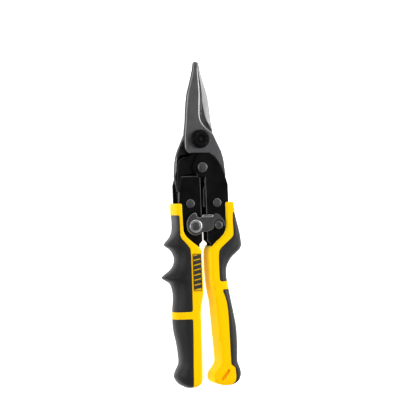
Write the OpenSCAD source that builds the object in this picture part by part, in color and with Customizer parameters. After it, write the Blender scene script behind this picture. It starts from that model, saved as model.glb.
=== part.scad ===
// Straight-cut compound-leverage aviation snips, closed and latched, lying on their back.
// +Y runs to the jaw tips, +X to the thumb-side handle, +Z out of the face that carries the latch.
// The origin is on the jaw pivot's axis, in the plane that the snips rest on.

/* [Linkage] */
// Distance from the jaw pivot down to the handle rivet
handle_drop = 22.4; // [22:0.1:23]
// Distance from the jaw pivot down to the two tail rivets
tail_drop = 50.3; // [49.8:0.1:50.8]
// Half of the spacing between the two tail rivets
tail_half = 10.9; // [10.6:0.1:11.2]

/* [Jaws] */
// Thickness of each forged jaw
jaw_t = 5; // [4.6:0.1:5]
// Thickness of each jaw's thinned tail
tail_t = 4.2; // [3.8:0.1:4.2]
// Running gap between the two shear faces
shear_gap = 0.04; // [0.02:0.02:0.1]
// Length of the blades in front of the jaw pivot
blade_l = 60.6; // [60:0.1:62]

/* [Frames] */
// Sheet thickness of the pressed handle frames
sheet_t = 1.8; // [1.4:0.1:1.8]
// Height of the outer face of the raised cheeks above the shear plane
cheek_top = 8.1; // [8.1:0.1:8.4]
// Radius of the eye that each frame has round the handle rivet
eye_r = 7.5; // [7:0.1:7.8]

/* [Fasteners] */
// Radius of the jaw pivot bolt's shank
bolt_r = 4; // [3.5:0.1:4.2]
// Radius of the flange on the pivot nut
nut_flange_r = 7.2; // [6.8:0.1:7.4]
// Radius of the handle rivet's shank
handle_rivet_r = 3; // [2.6:0.1:3]
// Radius of the tail rivets' shanks
tail_rivet_r = 2.5; // [2.2:0.1:2.6]
// Running clearance round every shank that something turns on
run_fit = 0.05; // [0.02:0.01:0.09]
// Clearance round the thumb-side tail rivet, which closes the linkage
loop_fit = 0.27; // [0.25:0.01:0.4]

/* [Latch] */
// Distance from the jaw pivot down to the latch rivet
latch_drop = 68; // [67.5:0.1:68.5]
// Distance of the latch rivet from the middle line
latch_side = 8; // [7.8:0.1:8.2]
// Distance of the catch stud from the middle line
stud_side = 10.9; // [10.7:0.1:11.1]
// Thickness of the latch plate
latch_t = 1.5; // [1.2:0.1:1.6]

/* [Grips] */
// Thickness of the grips, front to back
grip_t = 20; // [20:0.1:20.6]
// Distance from one section of a grip to the next
grip_step = 2.4; // [2.4:0.1:4]
// Points on each rounded side of a grip section
grip_points = 8; // [6:1:8]

/* [Spring] */
// Wire diameter of the return spring
wire_d = 1.2; // [1:0.1:1.3]
// Mean radius of the return spring's coil
coil_r = 4.7; // [4.6:0.1:4.8]
// Full turns of the return spring's coil
coil_turns = 5; // [3:1:6]

/* [Hidden] */
mid = 10;
eps = 0.01;
D = [0, -handle_drop];
B = [-tail_half, -tail_drop];
C = [tail_half, -tail_drop];
latch_at = [-latch_side, -latch_drop];
stud_at = [stud_side, -latch_drop + 0.4];
cheek_low = cheek_top - sheet_t;
inner_top = cheek_low - 0.1;
inner_low = inner_top - sheet_t;
joggle_y = -29;
joggle_len = 1.6;
washer_t = 1;
leg_x = 6.4;
leg_y = -49;
leg_z = 3.1;
latch_low = cheek_top + 1.5;
stud_top = latch_low - 0.1;
channel_x = 20.2;
tang_low = 4;

// Outline of the front jaw's blade and neck, walked from the tip down the back of the blade,
// round the heel, out to the tail and back up the cutting edge.
blade_back = [[-1.2, blade_l], [-2.7, 59.4], [-4.4, 51.5], [-6.6, 43.5], [-9, 34.5], [-10.4, 24],
    [-11.2, 14], [-12.1, 5], [-12.5, -4.7], [-11.8, -8.4], [-9.4, -11.2]];
heel = [[6.9, -11.2], [10.4, -14.5], [12, -20], [12.5, -30]];
neck = [[20.2, -29.5], [19.6, -24], [18.9, -17], [17.2, -10.2], [15, -5.3], [12.9, -0.7], [11.3, 2.8]];
cutting_edge = [[9.4, 6.2], [7, 9.3], [4.4, 13.4], [3.1, 17.4], [3.2, 24], [3.4, 34], [2.7, 42.5],
    [1.5, 50.3], [0.3, 59.2]];
tail_outline = [[-7.4, -10], [-6.8, -12.4], [6.9, -12.7], [6.8, -22], [5, -32], [2.2, -40], [1.8, -53],
    [6.6, -55.8], [15.2, -55.8], [17.8, -50.3], [18.5, -42], [19.6, -34], [20.2, -29.5], [14, -12]];

// Outline of a frame's cheek below the joggle, and the rims above it, for the thumb-side handle.
cheek_foot = [[2, -79.5], [4.6, -82.4], [4.6, -84.2], [7.5, -86.5], [10.5, -83.8], [14, -80.6],
    [17.5, -77.4], [channel_x, -74], [channel_x, -50], [20.6, -49.4]];
cheek_rim = [[20.6, -36], [18.5, -29], [17, -24.3], [14.7, -19.5], [11.6, -14.9], [9.2, -12.9],
    [6, -11.7], [0, -11.6], [-3.4, -13], [-6.2, -18.2]];
joggle_rim = [[20.2, -41], [18.8, -35], [17.4, joggle_y]];
joggle_inside = [[2, joggle_y - joggle_len], [15.8, joggle_y - joggle_len], [17.6, -42]];
inner_rim = [[channel_x, -42], [channel_x, -36], [20, -31], [19.7, -26], [19.2, -21], [18.2, -17.5],
    [16, -15], [13.4, -14], [10.7, -13.8], [8.6, -13.2], [6.2, -12.2], [3, -11.7], [-2, -11.6],
    [-5, -13.2], [-6.4, -16]];

// What is cut out of the back of the thumb-side frame, so that the slot between the frames is open.
rear_notch = [[0, -66], [3.5, -66], [3.5, -79.3], [5.9, -81.8], [5.9, -83.9], [0, -83.9]];

// Plan of the tang that runs down inside a grip.
tang_inner = [[5.4, -84], [5.4, -112], [8.2, -134], [8.2, -168]];
tang_w = 3.6;

// Each grip is drawn by curves of [distance below the jaw pivot, distance outwards from the middle].
// The finger side is the left handle and the thumb side is the right one.
finger_outer = [[50, 23.3], [58, 23.3], [65, 22.9], [71, 23.3], [76, 25.8], [80.5, 30.3], [82.5, 30.8],
    [85, 27.2], [88, 24.6], [93, 22.9], [98, 24], [102, 27.1], [105, 31.4], [107.5, 34], [109.6, 31.2],
    [112, 27.7], [117, 25.6], [124, 25], [133, 26.1], [140, 26.3], [149, 25.8], [159, 23.8],
    [168, 22.7], [175, 22.6], [180, 25.2], [184, 26.8], [187, 26], [191, 23], [193.8, 19]];
finger_inner = [[50, 17.4], [60, 17.4], [70, 17], [73, 16.3], [75.5, 14.8], [78, 12.4], [80.5, 9.3],
    [83, 6.2], [85, 4], [86.5, 2.9], [88.5, 2.4], [95, 2.3], [112, 2.1], [120, 2.3], [127, 3.6],
    [134, 4.8], [145, 5], [186, 5.5], [190, 6.3], [192, 7.8], [193.8, 11]];
finger_seam = [[50, 20.5], [70, 20.5], [74, 20.45], [75.5, 20.1], [77.4, 19.2], [79, 17.7],
    [83.6, 13.9], [85.2, 12.9], [87.5, 12.5], [95, 12.3], [130, 12.6], [150, 12.9], [193.8, 14]];
thumb_outer = [[50, 25], [58, 25.8], [64, 27.4], [70, 29], [76, 30.4], [81, 31.3], [84, 31.6],
    [87, 30.6], [90, 27.4], [93, 23.6], [97, 20.4], [101, 18.4], [107, 17.8], [113, 18.4], [120, 19.5],
    [130, 21.1], [140, 23], [148, 24.3], [162, 24.7], [175, 24.3], [179, 25.3], [183.5, 26.6],
    [187, 26.3], [190.5, 24.4], [192.6, 21.5], [193.8, 18]];
thumb_inner = [[50, 17], [60, 17], [70, 16.7], [73, 15.8], [75.5, 14], [78, 11.4], [80.5, 8.4],
    [83, 5.7], [85, 3.8], [87, 2.8], [90, 2.5], [100, 2.4], [116, 3.3], [126, 4.9], [136, 5.8],
    [150, 6.6], [168, 7.8], [175.5, 7.8], [179.5, 5.6], [183, 2.4], [186, 1.5], [189, 1.9], [191.4, 4.2],
    [193.8, 10]];
thumb_seam = [[50, 21.9], [58, 22.9], [66, 22.8], [71, 23], [75.4, 22.9], [77.2, 22.2], [79, 20.4],
    [84.4, 13.9], [86, 12.2], [87.8, 11], [90, 10.5], [96, 10.2], [112, 10.5], [118, 12.1],
    [124, 14.1], [130, 15.6], [141, 16.4], [176, 17.1], [177.4, 17.3], [178.6, 19], [179.8, 20.2],
    [182, 20.6], [188, 20.8], [191, 19.9], [193.8, 17.4]];
// Stretches where the yellow core fills the whole section, and the two pads between them.
finger_zones = [[50, 59, 1], [59, 134.4, 0], [134.4, 140, 1], [140, 193.8, 0]];
thumb_zones = [[50, 58, 1], [58, 112, 0], [112, 118.2, 1], [118.2, 193.8, 0]];
end_round = 6;
top_round = 2;
core_square = 5;
pad_square = 2.6;

function last(list) = list[len(list) - 1];
function sum(list, i = 0) = i < len(list) ? list[i] + sum(list, i + 1) : 0;

// Height of the curve through the points of tab at the place s.
function slope(tab, i) =
    i == 0 || i == len(tab) - 1 ? 0
    : (tab[i + 1][1] - tab[i - 1][1]) / (tab[i + 1][0] - tab[i - 1][0]);
function piece(tab, s) = max([for (i = [0:len(tab) - 2]) if (tab[i][0] <= s) i]);
function hermite(p, q, m, n, t) =
    (2 * t * t * t - 3 * t * t + 1) * p[1] + (t * t * t - 2 * t * t + t) * (q[0] - p[0]) * m
    + (3 * t * t - 2 * t * t * t) * q[1] + (t * t * t - t * t) * (q[0] - p[0]) * n;
function curve(tab, s) =
    let (i = piece(tab, s), p = tab[i], q = tab[i + 1], t = (s - p[0]) / (q[0] - p[0]))
    hermite(p, q, slope(tab, i), slope(tab, i + 1), t);

// A smooth curve through the points of list, with four steps from each point to the next.
function smooth(list) =
    concat([for (i = [0:len(list) - 2])
        let (a = list[max(i - 1, 0)], b = list[i], c = list[i + 1], d = list[min(i + 2, len(list) - 1)])
        for (t = [0:0.25:0.75])
            b + t * (c - a) / 2 + t * t * (a - 2.5 * b + 2 * c - d / 2)
            + t * t * t * (1.5 * (b - c) + (d - a) / 2)],
        [last(list)]);

// Half-thickness of a grip at s, rounded off over its top and its end.
function grip_half(s, top, end) =
    let (a = max(0, 1 - (s - top) / top_round), b = max(0, 1 - (end - s) / end_round))
    grip_t / 2 - 0.6 * a * a - 3.6 * (1 - sqrt(1 - 0.96 * b * b));

// Half of a squared-off oval in X and Z, from its top at x0 out to x1 and back to its bottom.
function power(v, e) = sign(v) * pow(abs(v), e);
function half_oval(x0, x1, h, square) =
    [for (i = [0:grip_points]) let (a = 180 * i / grip_points)
        [x0 + (x1 - x0) * power(sin(a), 2 / square), mid + h * power(cos(a), 2 / square)]];

// One section of a grip's core: the rounded inner side, then either the flat seam or the outer side.
function core_ring(s, full, inner, outer, seam, top, end) =
    let (h = grip_half(s, top, end), xs = curve(seam, s),
        xo = full == 1 ? curve(outer, s) : xs,
        a = half_oval(xs, curve(inner, s), h, core_square), b = half_oval(xs, xo, h, pad_square))
    [for (i = [0:grip_points]) [a[i][0], -s, a[i][1]],
        for (i = [grip_points - 1:-1:1]) [b[i][0], -s, b[i][1]]];

// One section of a pad: the flat seam, then the rounded outer side.
function pad_ring(s, outer, seam, top, end) =
    let (h = grip_half(s, top, end), xs = curve(seam, s),
        b = half_oval(xs, curve(outer, s), h, pad_square))
    [for (i = [0:grip_points]) [xs, -s, b[i][1]],
        for (i = [grip_points - 1:-1:1]) [b[i][0], -s, b[i][1]]];

function stations(zone) =
    let (n = ceil((zone[1] - zone[0]) / grip_step))
    [for (i = [0:n]) zone[0] + (zone[1] - zone[0]) * i / n];

// A solid through a list of rings of equal length, each a closed loop, in triangles.
module loft(rings) {
    n = len(rings[0]);
    m = len(rings);
    middles = [for (r = [rings[0], rings[m - 1]]) [for (v = [0:2]) sum([for (p = r) p[v]]) / n]];
    sides = [for (k = [0:m - 2]) for (i = [0:n - 1]) let (a = k * n + i, b = k * n + (i + 1) % n)
        each [[a, b, b + n], [a, b + n, a + n]]];
    start = [for (i = [0:n - 1]) [m * n, (i + 1) % n, i]];
    stop = [for (i = [0:n - 1]) let (a = (m - 1) * n) [m * n + 1, a + i, a + (i + 1) % n]];
    polyhedron(concat([for (r = rings) each r], middles), concat(sides, start, stop), convexity = 8);
}

module core_solid(zones, inner, outer, seam) {
    top = zones[0][0];
    end = last(zones)[1];
    loft([for (k = [0:len(zones) - 1]) for (s = stations(zones[k]))
        let (nudge = k > 0 && s == zones[k][0] ? 5 * eps : 0)
        core_ring(s + nudge, zones[k][2], inner, outer, seam, top, end)]);
}

module pad_solid(zone, zones, outer, seam) {
    stop = zone[1] - (zone[1] == last(zones)[1] ? 0 : 0.05);
    loft([for (s = stations([zone[0] + 0.1, stop]))
        pad_ring(s, outer, seam, zones[0][0], last(zones)[1])]);
}

// The left handle is the right one turned round the length of the snips.
module turned() {
    translate([0, 0, 2 * mid])
        rotate([0, 180, 0])
            children();
}

module at(p, z = 0) {
    translate([p[0], p[1], z])
        children();
}

module disc(p, low, high, r) {
    at(p, mid + low)
        cylinder(h = high - low, r = r, $fn = 64);
}

module ring(p, low, high, r, hole) {
    difference() {
        disc(p, low, high, r);
        disc(p, low - 1, high + 1, hole);
    }
}

// A domed rivet head or bolt head standing on the plane low.
module domed_head(p, low, r, h) {
    at(p, mid + low)
        rotate_extrude($fn = 64)
            polygon([[0, 0], [r, 0], [r, 0.55 * h], [0.94 * r, 0.78 * h], [0.82 * r, 0.92 * h],
                [0.66 * r, h], [0, h]]);
}

module domed_foot(p, high, r, h) {
    at(p, mid + high)
        mirror([0, 0, 1])
            translate([0, 0, -mid])
                domed_head([0, 0], 0, r, h);
}

module plate(points, low, high) {
    translate([0, 0, mid + low])
        linear_extrude(high - low)
            polygon(points);
}

// Removes what lies above a slope that leaves the line p to q at the height z.
module bevel(p, q, z, tilt) {
    span = norm(q - p);
    turn = atan2(q[1] - p[1], q[0] - p[0]);
    at(p, z)
        rotate([0, 0, turn])
            rotate([tilt, 0, 0])
                translate([-span, -20, 0])
                    cube([3 * span, 40, 20]);
}

// ---- jaws

module jaw(hole_r, tail_hole_r) {
    low = shear_gap / 2;
    difference() {
        union() {
            plate(concat(smooth(blade_back), smooth(heel), smooth(neck), smooth(cutting_edge)),
                low, jaw_t);
            plate(tail_outline, low, tail_t);
            disc(C, low, tail_t, 7);
        }
        intersection() {
            bevel([3.2, 16], [1.2, 56], mid + 3.1, 31);
            translate([-20, 16, 0])
                cube([40, 60, 40]);
        }
        bevel([-11.2, 14], [-3.2, 56], mid + 4, -45);
        disc([0, 0], -1, jaw_t + 1, hole_r);
        disc(C, -1, tail_t + 1, tail_hole_r);
    }
}

module front_jaw() {
    color([0.36, 0.36, 0.37])
        jaw(bolt_r + run_fit, tail_rivet_r + loop_fit);
}

module rear_jaw() {
    color([0.34, 0.34, 0.35])
        turned()
            jaw(bolt_r, tail_rivet_r + run_fit);
}

// ---- jaw pivot

module pivot_bolt() {
    color([0.08, 0.08, 0.09]) {
        at([0, 0])
            cylinder(h = 2.6, r = 6.6, $fn = 64);
        at([0, 0], 2.6)
            cylinder(h = 1.4, r1 = 6.6, r2 = 5.6, $fn = 64);
        disc([0, 0], 4 - mid - eps, jaw_t + 5.2, bolt_r);
    }
}

module rear_pivot_washer() {
    color([0.12, 0.12, 0.12])
        ring([0, 0], -jaw_t - washer_t, -jaw_t, nut_flange_r, bolt_r);
}

module front_pivot_washer() {
    color([0.12, 0.12, 0.12])
        ring([0, 0], jaw_t + 0.03, jaw_t + washer_t, nut_flange_r + 0.1, bolt_r);
}

module pivot_nut() {
    low = jaw_t + washer_t;
    color([0.07, 0.07, 0.08])
        difference() {
            union() {
                disc([0, 0], low, low + 1.4, nut_flange_r);
                at([0, 0], mid + low + 1.4)
                    cylinder(h = 1, r1 = nut_flange_r, r2 = 5.7, $fn = 64);
                disc([0, 0], low + 2.4, low + 4.4, 5.7);
            }
            disc([0, 0], low - 1, low + 6, bolt_r);
        }
}

// ---- handle frames

module eye(low, high, r) {
    disc(D, low, high, r);
}

// The wall that joins the two cheeks behind the channel, down to the tang.
module channel_wall() {
    outer = [for (i = [3:7]) cheek_foot[i]];
    inner = [[channel_x - sheet_t, -51], [channel_x - sheet_t, -73], [16.4, -75.8], [13, -79],
        [9.6, -82.2], [7.6, -84.2]];
    plate(concat(outer, [[channel_x, -51]], inner), -cheek_low, cheek_low);
}

module tang_profile(width) {
    n = len(tang_inner);
    polygon(concat(tang_inner, [for (i = [n - 1:-1:0]) tang_inner[i] + [width, 0]]));
}

// A small channel: a web along its inner edge, and two flanges.
module tang() {
    translate([0, 0, mid - tang_low])
        linear_extrude(2 * tang_low)
            tang_profile(sheet_t);
    for (z = [mid - tang_low, mid + tang_low - sheet_t])
        translate([0, 0, z])
            linear_extrude(sheet_t)
                tang_profile(tang_w);
}

module frame_solid() {
    difference() {
        union() {
            plate(concat([[2, -30]], cheek_foot, smooth(cheek_rim)), cheek_low, cheek_top);
            eye(cheek_low, cheek_top, eye_r);
            difference() {
                union() {
                    plate(concat([[2, joggle_y]], cheek_foot, smooth(joggle_rim)),
                        -cheek_top, -cheek_low);
                    plate(concat(joggle_inside, smooth(joggle_rim), [[2, joggle_y]]),
                        -cheek_top, -inner_low);
                }
                disc(D, -cheek_top - 1, -inner_top, eye_r + 0.4);
            }
            plate(concat(joggle_inside, smooth(inner_rim)), -inner_top, -inner_low);
            eye(-inner_top, -inner_low, 9);
            channel_wall();
            tang();
        }
        disc(D, -mid, mid, handle_rivet_r + run_fit);
        disc(C, -mid, mid, tail_rivet_r);
    }
}

module left_frame() {
    color([0.07, 0.07, 0.07])
        difference() {
            turned()
                frame_solid();
            disc(latch_at, 0, mid, 2.6);
        }
}

module right_frame() {
    color([0.07, 0.07, 0.07])
        difference() {
            frame_solid();
            disc(stud_at, 0, mid, 2.2);
            plate(rear_notch, -mid, -tang_low);
        }
}

// What a grip leaves free for its frame.
module frame_room() {
    foot = [for (i = [2:8]) cheek_foot[i]];
    plate(concat([[-30, cheek_foot[2][1]]], foot, [[channel_x, -40], [-30, -40]]),
        -cheek_top, cheek_top);
    translate([0, 0, mid - tang_low])
        linear_extrude(2 * tang_low)
            tang_profile(tang_w);
}

// ---- rivets, spacers and spring

module handle_rivet() {
    color([0.36, 0.36, 0.37]) {
        disc(D, -cheek_top, cheek_top, handle_rivet_r);
        domed_head(D, cheek_top, 4, 1.4);
        domed_foot(D, -cheek_top, 4, 1.4);
    }
}

module spring_bush() {
    color([0.55, 0.55, 0.57])
        ring(D, -3.9, 3.9, 3.7, handle_rivet_r);
}

function coil_point(t) =
    let (a = 190 - (360 * coil_turns + 200) * t)
    [D[0] + coil_r * cos(a), D[1] + coil_r * sin(a), mid + (1 - 2 * t) * leg_z];

// Up one leg, round the coil and down the other leg, each leg leaning on a tail spacer.
function spring_path() =
    let (n = coil_turns * 12 + 8)
    concat([[-leg_x, leg_y, mid + leg_z]], [for (i = [0:n]) coil_point(i / n)],
        [[leg_x, leg_y, mid - leg_z]]);

function unit(v) = v / norm(v);

// A tube along path, whose rings stand across the path and never twist about the Z axis.
module tube(path, r, sides = 8) {
    n = len(path);
    along = [for (i = [0:n - 1]) unit(path[min(i + 1, n - 1)] - path[max(i - 1, 0)])];
    loft([for (i = [0:n - 1])
        let (side = unit(cross([0, 0, 1], along[i])), up = cross(along[i], side))
        [for (k = [0:sides - 1]) let (a = -360 * k / sides)
            path[i] + r * (cos(a) * side + sin(a) * up)]]);
}

module return_spring() {
    color([0.5, 0.5, 0.52])
        tube(spring_path(), wire_d / 2);
}

module tail_rivet(p) {
    disc(p, -cheek_top, cheek_top, tail_rivet_r);
    domed_head(p, cheek_top, 3.5, 1.2);
    domed_foot(p, -cheek_top, 3.5, 1.2);
}

module left_tail_rivet() {
    color([0.36, 0.36, 0.37])
        tail_rivet(B);
}

module right_tail_rivet() {
    color([0.36, 0.36, 0.37])
        tail_rivet(C);
}

module left_tail_spacer() {
    color([0.45, 0.45, 0.46])
        ring(B, 0.1, cheek_low, 3.9, tail_rivet_r);
}

module right_tail_spacer() {
    color([0.45, 0.45, 0.46])
        ring(C, -cheek_low, -0.1, 3.9, tail_rivet_r);
}

module left_tail_washer() {
    color([0.45, 0.45, 0.46])
        ring(B, -cheek_low, -tail_t - 0.1, 4.6, tail_rivet_r);
}

module right_tail_washer() {
    color([0.45, 0.45, 0.46])
        ring(C, tail_t + 0.1, cheek_low, 4.6, tail_rivet_r);
}

// ---- latch

latch_arm = [[-8, -60.9], [-6.9, -58.3], [-5.9, -59], [-5.2, -61], [-3.6, -60.9], [-2, -59.8],
    [6, -59.8], [7.4, -59], [9.2, -58.7], [11, -59.3], [13.4, -61], [15.5, -63.4], [16.4, -66],
    [16.5, -68.8], [14.9, -69.8], [15.4, -67.6], [8.2, -67.6], [7.2, -69.6], [5, -71.6],
    [1.5, -73.4], [-2.4, -73.8], [-8, -75]];

module latch() {
    color([0.38, 0.38, 0.39])
        difference() {
            union() {
                translate([0, 0, mid + latch_low])
                    linear_extrude(latch_t)
                        offset(r = -0.5, $fn = 24)
                            offset(r = 1, $fn = 24)
                                offset(delta = -0.5)
                                    polygon(latch_arm);
                disc(latch_at, latch_low, latch_low + latch_t, 7.3);
            }
            disc(latch_at, latch_low - 1, latch_low + 4, 2.6 + run_fit);
            disc(stud_at, latch_low - 1, latch_low + 4, 3.8);
        }
}

module latch_spacer() {
    color([0.45, 0.45, 0.46])
        ring(latch_at, cheek_top, latch_low - 0.02, 6.2, 2.6);
}

module latch_washer() {
    low = latch_low + latch_t + 0.02;
    color([0.7, 0.7, 0.7])
        ring(latch_at, low, low + 0.5, 4.9, 2.6);
}

module latch_rivet() {
    head = latch_low + latch_t + 0.52;
    color([0.36, 0.36, 0.37]) {
        disc(latch_at, cheek_low - 0.8, head, 2.6);
        domed_head(latch_at, head, 3.4, 1);
        disc(latch_at, cheek_low - 0.8, cheek_low, 3.6);
    }
}

module catch_stud() {
    color([0.36, 0.36, 0.37]) {
        disc(stud_at, cheek_low - 0.8, cheek_top, 2.2);
        disc(stud_at, cheek_low - 0.8, cheek_low, 3.2);
        domed_head(stud_at, cheek_top, 3.6, stud_top - cheek_top);
    }
}

// ---- grips

module left_grip_core() {
    color([1, 0.8, 0])
        difference() {
            turned()
                difference() {
                    core_solid(finger_zones, finger_inner, finger_outer, finger_seam);
                    frame_room();
                }
            badge_block(0);
        }
}

module left_upper_pad() {
    color([0.22, 0.22, 0.22])
        turned()
            pad_solid(finger_zones[1], finger_zones, finger_outer, finger_seam);
}

module left_lower_pad() {
    color([0.22, 0.22, 0.22])
        turned()
            pad_solid(finger_zones[3], finger_zones, finger_outer, finger_seam);
}

module badge_block(inset) {
    translate([-11.6, -119, 2 * mid - 0.9])
        cube([8.1, 30, 0.9 - inset]);
}

module grip_badge() {
    color([0.13, 0.12, 0.1])
        badge_block(0.2);
}

module right_grip_core() {
    color([1, 0.8, 0])
        difference() {
            core_solid(thumb_zones, thumb_inner, thumb_outer, thumb_seam);
            frame_room();
        }
}

module right_upper_pad() {
    color([0.22, 0.22, 0.22])
        pad_solid(thumb_zones[1], thumb_zones, thumb_outer, thumb_seam);
}

module right_lower_pad() {
    color([0.22, 0.22, 0.22])
        pad_solid(thumb_zones[3], thumb_zones, thumb_outer, thumb_seam);
}

front_jaw();
rear_jaw();
pivot_bolt();
pivot_nut();
front_pivot_washer();
rear_pivot_washer();
left_frame();
right_frame();
handle_rivet();
spring_bush();
return_spring();
left_tail_rivet();
left_tail_spacer();
left_tail_washer();
right_tail_rivet();
right_tail_spacer();
right_tail_washer();
latch();
latch_rivet();
latch_spacer();
latch_washer();
catch_stud();
left_grip_core();
left_upper_pad();
left_lower_pad();
grip_badge();
right_grip_core();
right_upper_pad();
right_lower_pad();
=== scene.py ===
"""Straight-cut aviation snips, closed and latched, lying on a pale floor.

Outlines are in millimetres in the frame of the CAD model: +Y runs to the jaw tips, +X to the
thumb-side handle and +Z out of the face that carries the latch. add_mesh() turns them into metres.
"""

import math

import bpy
from mathutils import Matrix, Vector
from mathutils.geometry import tessellate_polygon


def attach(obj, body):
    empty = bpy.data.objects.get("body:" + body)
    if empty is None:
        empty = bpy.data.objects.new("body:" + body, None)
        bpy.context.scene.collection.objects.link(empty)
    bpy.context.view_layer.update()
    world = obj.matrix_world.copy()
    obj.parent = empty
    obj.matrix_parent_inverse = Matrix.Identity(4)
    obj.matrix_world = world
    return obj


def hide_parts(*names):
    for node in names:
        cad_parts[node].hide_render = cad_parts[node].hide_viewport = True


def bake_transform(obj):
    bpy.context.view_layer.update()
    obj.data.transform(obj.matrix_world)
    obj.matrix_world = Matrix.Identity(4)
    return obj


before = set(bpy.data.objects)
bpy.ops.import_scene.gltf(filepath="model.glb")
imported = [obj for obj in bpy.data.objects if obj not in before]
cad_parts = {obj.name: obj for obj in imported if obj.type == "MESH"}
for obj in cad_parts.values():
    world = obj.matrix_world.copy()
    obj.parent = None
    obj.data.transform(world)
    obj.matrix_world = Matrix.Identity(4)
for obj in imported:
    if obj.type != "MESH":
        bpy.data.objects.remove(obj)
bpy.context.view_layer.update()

MM = 0.001
MID = 10.0  # height of the shear plane above the floor
FRAME_INNER, FRAME_OUTER = 6.3, 8.1  # from the shear plane to the two faces of a frame's wall
PIVOT_BORE = 4.02
HANDLE_RIVET = (0.0, -22.4)
LEFT_TAIL_RIVET = (-10.9, -50.3)
RIGHT_TAIL_RIVET = (10.9, -50.3)
LATCH_RIVET = (-8.0, -68.0)
CATCH_STUD = (10.9, -67.6)


# ---- shapes in the plane


def smooth(points):
    """A Catmull-Rom curve through the points, in six steps from each to the next."""
    points = [Vector(p) for p in points]
    last = len(points) - 1
    curve = []
    for i in range(last):
        a, b = points[max(i - 1, 0)], points[i]
        c, d = points[i + 1], points[min(i + 2, last)]
        for t in [k / 6 for k in range(6)]:
            curve.append(
                b
                + (c - a) * t / 2
                + (a - 2.5 * b + 2 * c - d / 2) * t**2
                + (1.5 * (b - c) + (d - a) / 2) * t**3
            )
    return curve + [points[last]]


def fillet(points, radius, steps, closed=True):
    """The points with each corner rounded off by about the radius."""
    points = [Vector(p) for p in points]
    count = len(points)
    rounded = []
    for i, corner in enumerate(points):
        if not closed and i in (0, count - 1):
            rounded.append(corner)
            continue
        back = points[i - 1] - corner
        ahead = points[(i + 1) % count] - corner
        half = max(0.05, back.angle(ahead, math.pi) / 2)
        reach = radius / math.tan(half) if half < 1.57 else 0
        start = corner + back.normalized() * min(reach, 0.48 * back.length)
        stop = corner + ahead.normalized() * min(reach, 0.48 * ahead.length)
        for k in range(steps + 1):
            t = k / steps
            rounded.append(start * (1 - t) ** 2 + corner * 2 * t * (1 - t) + stop * t**2)
    return rounded


def respaced(points, spacing):
    """Points at an even spacing along the line through the points."""
    lengths = [(b - a).length for a, b in zip(points, points[1:])]
    total = sum(lengths)
    count = round(total / spacing)
    even = []
    i, passed = 0, 0.0
    for k in range(count + 1):
        goal = total * k / count
        while i < len(lengths) - 1 and passed + lengths[i] < goal:
            passed += lengths[i]
            i += 1
        even.append(points[i].lerp(points[i + 1], (goal - passed) / lengths[i]))
    return even


def arc(centre, radius, angles):
    x, y = centre
    return [Vector((x + radius * math.cos(a), y + radius * math.sin(a))) for a in angles]


def circle(centre, radius, count=64):
    return arc(centre, radius, [math.tau * k / count for k in range(count)])


def capsule(start, stop, radius):
    """A round-ended slot's outline."""
    start, stop = Vector(start), Vector(stop)
    count = 16
    turn = math.atan2(stop.y - start.y, stop.x - start.x)
    ends = []
    for centre, first in ((stop, turn - math.pi / 2), (start, turn + math.pi / 2)):
        ends += arc(centre, radius, [first + math.pi * k / count for k in range(count + 1)])
    return ends


def area(loop):
    return sum(a.cross(b) for a, b in zip(loop, loop[1:] + loop[:1])) / 2


def inward(loop):
    """For each point of a loop, the direction to its left, lengthened at corners."""
    directions = []
    count = len(loop)
    for i in range(count):
        before = (loop[i] - loop[i - 1]).normalized()
        after = (loop[(i + 1) % count] - loop[i]).normalized()
        along = (before + after).normalized()
        left = Vector((-along.y, along.x))
        edge = Vector((-after.y, after.x))
        directions.append(left / max(0.6, left.dot(edge)))
    return directions


def table_value(table, s):
    """The smooth curve through the points of a table of [place, value], flat at both ends."""
    s = min(max(s, table[0][0]), table[-1][0])
    i = max(k for k in range(len(table) - 1) if table[k][0] <= s)

    def slope(k):
        if k in (0, len(table) - 1):
            return 0.0
        return (table[k + 1][1] - table[k - 1][1]) / (table[k + 1][0] - table[k - 1][0])

    (s0, v0), (s1, v1) = table[i], table[i + 1]
    run = s1 - s0
    t = (s - s0) / run
    return (
        (2 * t**3 - 3 * t**2 + 1) * v0
        + (t**3 - 2 * t**2 + t) * run * slope(i)
        + (3 * t**2 - 2 * t**3) * v1
        + (t**3 - t**2) * run * slope(i + 1)
    )


# ---- meshes


def add_mesh(name, points, faces, materials, indices=None):
    """A piece whose points are given in millimetres."""
    mesh = bpy.data.meshes.new(name)
    mesh.from_pydata([Vector(p) * MM for p in points], [], faces)
    for material in materials:
        mesh.materials.append(material)
    if indices:
        mesh.polygons.foreach_set("material_index", indices)
    mesh.update()
    piece = bpy.data.objects.new(name, mesh)
    bpy.context.scene.collection.objects.link(piece)
    return piece


def bake(piece):
    """Puts the piece's modifiers into its mesh."""
    graph = bpy.context.evaluated_depsgraph_get()
    mesh = bpy.data.meshes.new_from_object(piece.evaluated_get(graph), depsgraph=graph)
    piece.modifiers.clear()
    piece.data = mesh


def shaded(piece, angle, flat_faces=True):
    """Smooth shading with sharp edges above the angle, and flat faces that stay flat."""
    piece.data.shade_smooth()
    piece.data.set_sharp_from_angle(angle=math.radians(angle))
    if flat_faces:
        normals = piece.modifiers.new("flat_faces", "WEIGHTED_NORMAL")
        normals.keep_sharp = True
        bake(piece)
    return piece


def boolean(piece, other, operation):
    """Cuts the other piece out of this one, or joins it on, and removes it."""
    step = piece.modifiers.new(operation, "BOOLEAN")
    step.operation = operation
    step.material_mode = "TRANSFER"
    step.solver = "EXACT"
    step.object = other
    bake(piece)
    bpy.data.objects.remove(other)


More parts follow.
